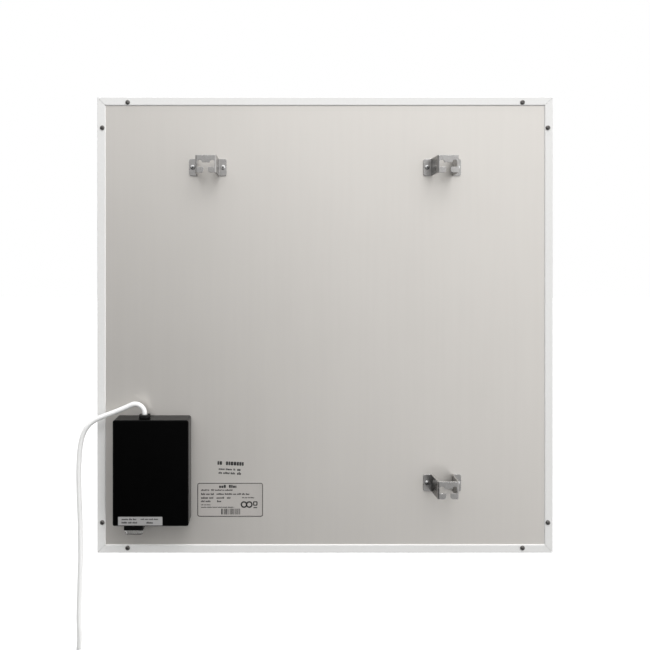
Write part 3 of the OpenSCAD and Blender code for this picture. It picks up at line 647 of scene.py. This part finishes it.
class Print:
    """Flat marks on a surface, laid out in a block whose top left corner is as seen from behind."""

    # times the height of a line of words
    STROKES = 0.3, 0.62
    STROKE_GAP = 0.1
    WORD_GAP = 0.45
    SHORT_BY = 0.26
    # counted in bars
    TALL_SHARE = 0.3
    WORD_LENGTHS = 3, 8
    CLIPPED = 0.2  # of a bar's shorter side
    OVERRUN = 0.2 * MM  # how far the last bar may pass the end of its line
    # widths in a bar code, in mm
    LINES = 0.4, 0.6, 0.9, 1.3
    GAPS = 0.3, 0.4, 0.6, 1.2

    def __init__(self, name, left, top, width, height, surface_y, tilt=0.0, seed=1):
        self.name = name
        self.corner = Vector((left, surface_y, top))
        self.width = width
        self.height = height
        self.turn = Matrix.Rotation(math.radians(tilt), 3, "Y")
        self.bm = bmesh.new()
        self.rng = random.Random(seed)

    def at(self, across, down, out):
        flat = Vector((-across, 0, -down))
        return self.corner + self.turn @ flat + Vector((0, out, 0))

    def patch(self, across, down, width, height):
        """One bar with clipped corners; its place and size are in metres from the block's corner."""
        clip = min(width, height) * self.CLIPPED
        outline = [
            (clip, 0), (width - clip, 0), (width, clip), (width, height - clip),
            (width - clip, height), (clip, height), (0, height - clip), (0, clip),
        ]
        layers = [[self.at(across + u, down + v, out) for u, v in outline] for out in (0, INK_T)]
        loft(self.bm, layers)

    def words(self, u0, u1, v0, v1, bold=1.0, capitals=False):
        """Small upright bars of uneven width and height, with gaps like those between words."""
        across, end = u0 * self.width, u1 * self.width
        down, height = v0 * self.height, (v1 - v0) * self.height
        left_in_word = math.inf if capitals else self.rng.randint(*self.WORD_LENGTHS)
        while across < end:
            stroke = height * self.rng.uniform(*self.STROKES) * bold
            tall = capitals or self.rng.random() < self.TALL_SHARE
            rise = 0 if tall else height * self.SHORT_BY
            if across + stroke <= end + self.OVERRUN:
                self.patch(across, down + rise, stroke, height - rise)
            across += stroke + height * self.STROKE_GAP
            left_in_word -= 1
            if left_in_word == 0:
                across += height * self.WORD_GAP
                left_in_word = self.rng.randint(*self.WORD_LENGTHS)

    def stripes(self, u0, u1, v0, v1):
        """Upright lines like those of a bar code, of random widths."""
        across, end = u0 * self.width, u1 * self.width
        while across < end:
            line = self.rng.choice(self.LINES) * MM
            self.patch(across, v0 * self.height, min(line, end - across), (v1 - v0) * self.height)
            across += line + self.rng.choice(self.GAPS) * MM

    def ring(self, u, v, outer, inner, corner=None):
        """A closed line round the point (u, v): outer and inner are its two sizes across."""
        loops = []
        for out in (0, INK_T):
            for across, down in (outer, inner):
                radius = min(across, down) / 2 if corner is None else corner - (outer[0] - across) / 2
                outline = rounded_outline(across, down, radius)
                loops.append([self.at(u * self.width + x, v * self.height + z, out) for x, z in outline])
        low_out, low_in, high_out, high_in = [[self.bm.verts.new(p) for p in loop] for loop in loops]
        for a, b in ((low_out, low_in), (low_in, high_in), (high_in, high_out), (high_out, low_out)):
            join_rings(self.bm, a, b)

    def done(self, slot):
        return finish_piece(mesh_piece(self.name, self.bm, smooth=False), slot)


def make_label_print():
    low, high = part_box("rating_label")
    width, height = high.x - low.x, high.z - low.z
    label = Print("label_print", high.x, high.z, width, height, high.y, seed=11)
    inset, line = 0.2 * MM, 0.95 * MM
    outer = (width - 2 * inset, height - 2 * inset)
    label.ring(0.5, 0.5, outer, (outer[0] - 2 * line, outer[1] - 2 * line), corner=2.7 * MM)
    for u0, u1 in [(0.33, 0.46), (0.48, 0.62)]:
        label.words(u0, u1, 0.06, 0.15, bold=1.2)
    for u0, u1, v0, v1 in [
        (0.058, 0.19, 0.19, 0.235), (0.21, 0.544, 0.19, 0.235),
        (0.058, 0.25, 0.30, 0.36), (0.292, 0.80, 0.305, 0.355),
        (0.058, 0.245, 0.41, 0.47), (0.292, 0.41, 0.415, 0.468), (0.45, 0.51, 0.415, 0.468),
        (0.68, 0.87, 0.42, 0.455),
        (0.058, 0.22, 0.515, 0.57), (0.30, 0.365, 0.515, 0.57),
        (0.058, 0.20, 0.63, 0.662), (0.058, 0.56, 0.70, 0.735),
    ]:
        label.words(u0, u1, v0, v1)
    label.stripes(0.364, 0.652, 0.76, 0.934)
    mark = 0.2 * height
    for u in (0.71, 0.79):
        label.ring(u, 0.64, (mark, mark), (0.56 * mark, 0.56 * mark))
    small = 0.13 * height
    label.ring(0.882, 0.61, (small, small), (0.5 * small, 0.5 * small), corner=0.2 * small)
    label.patch(0.855 * width, 0.715 * height, 0.055 * width, 0.03 * height)
    return label.done("box_black")


def make_sticker_print():
    low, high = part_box("box_sticker")
    sticker = Print("sticker_print", high.x, high.z, high.x - low.x, high.z - low.z, high.y, seed=5)
    for u0, u1, v0, v1 in [
        (0.08, 0.45, 0.18, 0.38), (0.51, 0.90, 0.18, 0.35),
        (0.08, 0.45, 0.56, 0.77), (0.64, 0.79, 0.55, 0.79),
    ]:
        sticker.words(u0, u1, v0, v1)
    return sticker.done("box_black")


def make_inspection_stamp():
    """Ink stamp on the rear sheet, a heading over two short lines, not quite level."""
    label_low, label_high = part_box("rating_label")
    left, top = label_low.x + 59.5 * MM, label_high.z + 28.4 * MM
    stamp = Print("inspection_stamp", left, top, 38 * MM, 22 * MM, plate_y, tilt=-2.4, seed=21)
    for u0, u1 in [(0.0, 0.24), (0.29, 0.95)]:
        stamp.words(u0, u1, 0, 0.22, bold=1.3, capitals=True)
    for u0, u1, v0, v1 in [
        (0.05, 0.50, 0.40, 0.52), (0.56, 0.64, 0.40, 0.52), (0.69, 0.82, 0.37, 0.54),
        (0.05, 0.62, 0.63, 0.75), (0.69, 0.82, 0.60, 0.77),
    ]:
        stamp.words(u0, u1, v0, v1)
    return stamp.done("box_black")


# ---- Which material goes where ----


def dress_outside():
    white = (0.80, 0.795, 0.78), (0.835, 0.835, 0.825)
    frame_sides = ["frame_top", "frame_bottom", "frame_left", "frame_right"]
    powder_coat("frame_powder_coat", *white, 1.3, 0.012, (0.36, 0.46), *frame_sides)
    powder_coat("radiator_powder_coat", *white, 0.8, 0.035, (0.55, 0.68), "radiating_plate")
    rolled_sheet("rear_sheet_coat", "back_plate")
    galvanised("zinc_coat", "bracket_upper_right", "bracket_upper_left", "bracket_lower_left")
    metal("rivet_aluminium", grey(0.55), grey(0.78), (0.2, 0.34), 0.5, "bracket_rivets")
    metal("mandrel_steel", grey(0.07), grey(0.2), (0.4, 0.6), 0.25, "rivet_mandrels", depth_mm=0.05)
    metal("black_zinc", grey(0.12, 0.05), grey(0.24, 0.03), (0.26, 0.4), 0.5, "frame_screws")
    plastic(
        "box_abs", grey(0.0005), grey(0.0009), (0.27, 0.34), 0.5, "control_box_cover",
        edge_mm=0.5, IOR=1.42, Specular_IOR_Level=0.14,
    )
    plastic(
        "bush_nylon", grey(0.0015), grey(0.003), (0.34, 0.46), 0.4, "strain_relief_bush",
        Specular_IOR_Level=0.25,
    )
    plastic(
        "switch_nylon", grey(0.0015), grey(0.003), (0.3, 0.42), 0.4, "switch_housing",
        Specular_IOR_Level=0.25,
    )
    plastic("rocker_abs", grey(0.008), grey(0.016), (0.22, 0.3), 0.3, "switch_rocker")
    rubbed_plastic("cord_pvc", (0.92, 0.92, 0.90), (0.96, 0.96, 0.95), (0.3, 0.42), "power_cord_whole")
    rubbed_plastic("plug_pvc", (0.80, 0.80, 0.78), (0.86, 0.86, 0.85), (0.34, 0.46), "plug_moulding")
    rubbed_plastic("sheath_pvc", (0.80, 0.80, 0.78), (0.86, 0.86, 0.85), (0.34, 0.46), "cord_sheath_end")
    metal("pin_plating", grey(0.6, 0.04), grey(0.74, 0.03), (0.16, 0.28), 0.3, "plug_pins", stretch=(1, 1, 9))
    metal("clip_plating", grey(0.55, 0.04), grey(0.7, 0.03), (0.22, 0.34), 0.3, "plug_earth_clips")
    plastic(
        "label_vinyl", grey(0.42, 0.05), grey(0.48, 0.05), (0.3, 0.42), 1.2, "rating_label",
        depth_mm=0.004,
    )
    plastic(
        "sticker_film", grey(0.42, 0.01), grey(0.48, 0.01), (0.36, 0.46), 0.8, "box_sticker",
        Metallic=0.25,
    )
    hook_and_loop("strap_loop", "cord_wraps")
    ink("printing_ink", "label_print", "sticker_print", "inspection_stamp")
    clear_cap("cap_silicone", "switch_boot")


def hook_and_loop(name, *dressed):
    """Felted loop pile of a cable strap."""
    look = Look(name, Sheen_Weight=0.35, Sheen_Roughness=0.5)
    pile = look.cells(0.55, "Distance")
    look.colour(look.average(pile, look.noise(2.5)), grey(0.06), grey(0.13), start=0.1, end=0.7)
    look.rough(look.noise(0.8), 0.8, 0.95)
    look.relief(pile, 0.3)
    look.dress(*dressed)


def ink(name, *dressed):
    """Thermal print: dark, slightly starved in places."""
    look = Look(name)
    starved = look.noise(0.6, detail=4)
    look.colour(starved, (0.02, 0.02, 0.02), (0.03, 0.03, 0.029), (0.07, 0.07, 0.067))
    look.rough(starved, 0.5, 0.7)
    look.relief(starved, 0.005)
    look.dress(*dressed)


def clear_cap(name, *dressed):
    """Clear silicone with a faint haze, through which the switch shows."""
    look = Look(name, Transmission_Weight=0.97, IOR=1.41)
    haze = look.noise(4, detail=4)
    look.colour(haze, (0.93, 0.94, 0.93), (0.98, 0.98, 0.98))
    look.rough(haze, 0.02, 0.09)
    look.relief(look.noise(2.5, detail=2), 0.03)
    look.dress(*dressed)


def mineral_wool(name, *dressed):
    """Pressed fibre board."""
    look = Look(name)
    fibres = look.noise(1.1, stretch=(7, 1, 1), detail=5)
    across = look.noise(1.1, stretch=(1, 1, 7), detail=5)
    look.colour(look.average(fibres, across), (0.42, 0.34, 0.15), (0.66, 0.57, 0.30), (0.78, 0.71, 0.46))
    look.rough(fibres, 0.85, 0.97)
    look.relief(look.average(fibres, across), 0.5)
    look.relief(look.cells(6, "Distance"), 0.4)
    look.dress(*dressed)


def crinkled_foil(name, *dressed):
    look = Look(name, Metallic=1.0)
    folds = look.cells(7, "Distance")
    look.colour(look.noise(12), grey(0.72), grey(0.86))
    look.rough(look.noise(3), 0.14, 0.3)
    look.relief(folds, 0.5)
    look.relief(look.noise(2.2, detail=4), 0.12)
    look.dress(*dressed)


def printed_carbon(name, *dressed):
    """Heating film: carbon paste printed in upright strips."""
    look = Look(name)
    strips = look.waves(14, "X", distortion=0.2)
    paste = look.noise(0.5, detail=4)
    look.colour(look.average(strips, paste), grey(0.012), grey(0.03), grey(0.055), start=0.2, end=0.8)
    look.rough(paste, 0.5, 0.72)
    look.relief(strips, 0.05)
    look.relief(paste, 0.02)
    look.dress(*dressed)


def circuit_laminate(name, *dressed):
    """Green solder mask over faint tracks."""
    look = Look(name, Coat_Weight=0.4, Coat_Roughness=0.15)
    tracks = look.cells(3.2, "Distance", stretch=(3, 1, 1))
    weave = look.noise(0.4, detail=3)
    greens = (0.006, 0.06, 0.02), (0.012, 0.11, 0.035), (0.03, 0.2, 0.07)
    look.colour(look.average(tracks, weave), *greens, start=0.2)
    look.rough(weave, 0.25, 0.4)
    look.relief(tracks, 0.03)
    look.dress(*dressed)


def glass_tube(name, *dressed):
    look = Look(name, Metallic=0.25)
    look.colour(look.noise(2), (0.42, 0.46, 0.47), (0.6, 0.64, 0.65))
    look.rough(look.noise(1.2), 0.05, 0.16)
    look.relief(look.noise(1.6, detail=1), 0.02)
    look.dress(*dressed)


def dress_inside():
    metal("key_aluminium", grey(0.5), grey(0.66), (0.35, 0.5), 0.7, "corner_keys", stretch=(5, 1, 5))
    metal("bright_zinc", grey(0.5), grey(0.68), (0.22, 0.36), 0.4, "control_box_screws", "circuit_screws")
    copper = (0.66, 0.28, 0.14), (0.85, 0.45, 0.27)
    metal("busbar_copper", *copper, (0.25, 0.4), 0.6, "copper_busbars", stretch=(1, 1, 20))
    metal("shield_tin", grey(0.5), grey(0.66), (0.25, 0.4), 0.5, "wireless_module", stretch=(6, 1, 1))
    brass = (0.55, 0.38, 0.13), (0.74, 0.56, 0.26)
    metal("turned_brass", *brass, (0.2, 0.34), 0.3, "earth_screw", "switch_terminals")
    mineral_wool("pressed_fibre", "insulation_board")
    crinkled_foil("foil_skin", "reflective_foil")
    printed_carbon("carbon_print", "heating_film")
    circuit_laminate("solder_mask", "circuit_board")
    glass_tube("fuse_tube", "fuse")
    for name, low, high, roughness, dressed in [
        ("polyester_sheet", (0.60, 0.50, 0.25), (0.72, 0.62, 0.36), (0.2, 0.34), ["insulating_sheet"]),
        ("cutout_phenolic", (0.045, 0.018, 0.01), (0.08, 0.032, 0.018), (0.4, 0.55), ["thermal_cutouts"]),
        ("foot_abs", grey(0.008), grey(0.018), (0.45, 0.6), ["control_box_foot"]),
        ("relay_case", (0.006, 0.03, 0.2), (0.012, 0.05, 0.28), (0.28, 0.42), ["relay"]),
        ("module_epoxy", grey(0.006), grey(0.013), (0.4, 0.6), ["power_module"]),
        ("terminal_polyamide", (0.012, 0.15, 0.04), (0.02, 0.21, 0.06), (0.3, 0.45), ["terminal_block"]),
        ("capacitor_case", (0.58, 0.36, 0.02), (0.7, 0.46, 0.04), (0.3, 0.42), ["filter_capacitor"]),
        ("varistor_epoxy", (0.01, 0.05, 0.22), (0.02, 0.08, 0.3), (0.3, 0.44), ["varistor"]),
        ("grommet_epdm", grey(0.012), grey(0.024), (0.6, 0.8), ["wire_grommet"]),
        ("brown_pvc", (0.06, 0.02, 0.008), (0.09, 0.032, 0.014), (0.35, 0.5), ["live_wire"]),
        ("blue_pvc", (0.01, 0.05, 0.27), (0.02, 0.07, 0.34), (0.35, 0.5), ["neutral_wire"]),
        ("grey_pvc", grey(0.12), grey(0.17), (0.35, 0.5), ["cord_cores", "switch_wires"]),
    ]:
        plastic(name, low, high, roughness, 0.4, *dressed)
    earth = Look("earth_pvc")
    earth.colour(earth.waves(3.2, "DIAGONAL"), (0.03, 0.22, 0.03), (0.6, 0.55, 0.03), start=0.45, end=0.55)
    earth.rough(earth.noise(1.2), 0.35, 0.5)
    earth.relief(earth.noise(0.5), 0.01)
    earth.dress("earth_wire")


# ---- Stage and light ----

TOWARD_LIGHT_WALL = Vector((-0.5, 0, 0.87))  # from the dark side of the studio to the bright one
TOWARD_BACK_WALL = Vector((0, 1, 0))  # where the panel's back looks
DARK_SIDE, BRIGHT_SIDE, FRONT_WALL = 0.01, 1.3, 0.95


def make_world():
    """White studio before the panel's front, and a dark and a bright side where its back looks.

    The camera itself sees plain white.
    """
    world = bpy.data.worlds.new("studio")
    bpy.context.scene.world = world
    world.use_nodes = True
    tree = world.node_tree
    direction = tree.nodes.new("ShaderNodeTexCoord").outputs["Generated"]

    def along(vector):
        node = tree.nodes.new("ShaderNodeVectorMath")
        node.operation = "DOT_PRODUCT"
        node.inputs[1].default_value = vector
        tree.links.new(direction, node.inputs[0])
        return node.outputs["Value"]

    def ranged(value, from_low, from_high, to_low, to_high, smooth=False):
        """Carries a value from one range to another, and holds it at the ends."""
        node = tree.nodes.new("ShaderNodeMapRange")
        if smooth:
            node.interpolation_type = "SMOOTHSTEP"
        tree.links.new(value, node.inputs["Value"])
        for socket, number in zip(("From Min", "From Max"), (from_low, from_high)):
            node.inputs[socket].default_value = number
        for socket, end in zip(("To Min", "To Max"), (to_low, to_high)):
            if isinstance(end, bpy.types.NodeSocket):
                tree.links.new(end, node.inputs[socket])
            else:
                node.inputs[socket].default_value = end
        return node.outputs["Result"]

    gradient = ranged(along(TOWARD_LIGHT_WALL), -0.34, 0.36, DARK_SIDE, BRIGHT_SIDE)
    studio = ranged(along(TOWARD_BACK_WALL), -0.2, 0.5, FRONT_WALL, gradient, smooth=True)
    seen = tree.nodes.new("ShaderNodeLightPath").outputs["Is Camera Ray"]
    strength = ranged(seen, 0, 1, studio, 1.0)
    background = tree.nodes["Background"]
    background.inputs["Color"].default_value = (1, 1, 1, 1)
    tree.links.new(strength, background.inputs["Strength"])


FLOOR_HALF_SIDE = 25
FLOOR_DROP = 0.45  # below the lowest part of the object
FLOOR_GLOW = 0.4  # keeps it nearly white


def make_floor():
    """Plain pale floor. It takes shadows, and leaves the light on the object to the studio."""
    bm = bmesh.new()
    bmesh.ops.create_grid(bm, x_segments=8, y_segments=8, size=FLOOR_HALF_SIDE)
    floor = mesh_piece("floor", bm, smooth=False)
    floor.location = (0, 0, cad_low.z - FLOOR_DROP)
    floor.visible_glossy = False
    floor.visible_diffuse = False
    look = Look("floor")
    look.colour(look.noise(900), (0.80, 0.80, 0.80), (0.84, 0.84, 0.84))
    look.rough(look.noise(400), 0.85, 0.95)
    look.shader.inputs["Emission Color"].default_value = (1, 1, 1, 1)
    look.shader.inputs["Emission Strength"].default_value = FLOOR_GLOW
    look.dress("floor")


def area_light(name, place, target, width, height, power):
    """Soft light whose sides are in metres and whose power is in watts."""
    data = bpy.data.lights.new(name, "AREA")
    data.shape = "RECTANGLE"
    data.size = width
    data.size_y = height
    data.energy = power
    light = link(name, data)
    light.location = place
    light.rotation_euler = (Vector(target) - Vector(place)).to_track_quat("-Z", "Y").to_euler()
    return light


def make_lights():
    key = area_light("key", (-0.3, 1.2, 1.4), (0, 0, -0.25), 1.1, 0.9, 17)
    key.visible_glossy = False  # it would leave a hot spot on the rear sheet
    area_light("overhead", (-0.3, 0.25, 1.9), (0, 0, -0.2), 1.0, 0.4, 9)
    area_light("low_card", (-0.5, 1.4, -1.0), (-0.1, 0, -0.35), 1.3, 0.6, 0.8)


make_camera()
relief = make_strain_relief()
ties = make_cord_ties()
plug = make_plug()
make_power_cord(relief, ties, plug, nodes["plug_pins"], nodes["plug_earth_clips"])
make_rivet_mandrels()
make_label_print()
make_sticker_print()
make_inspection_stamp()
dress_outside()
dress_inside()
bpy.context.scene.view_settings.view_transform = "Standard"
make_world()
make_floor()
make_lights()
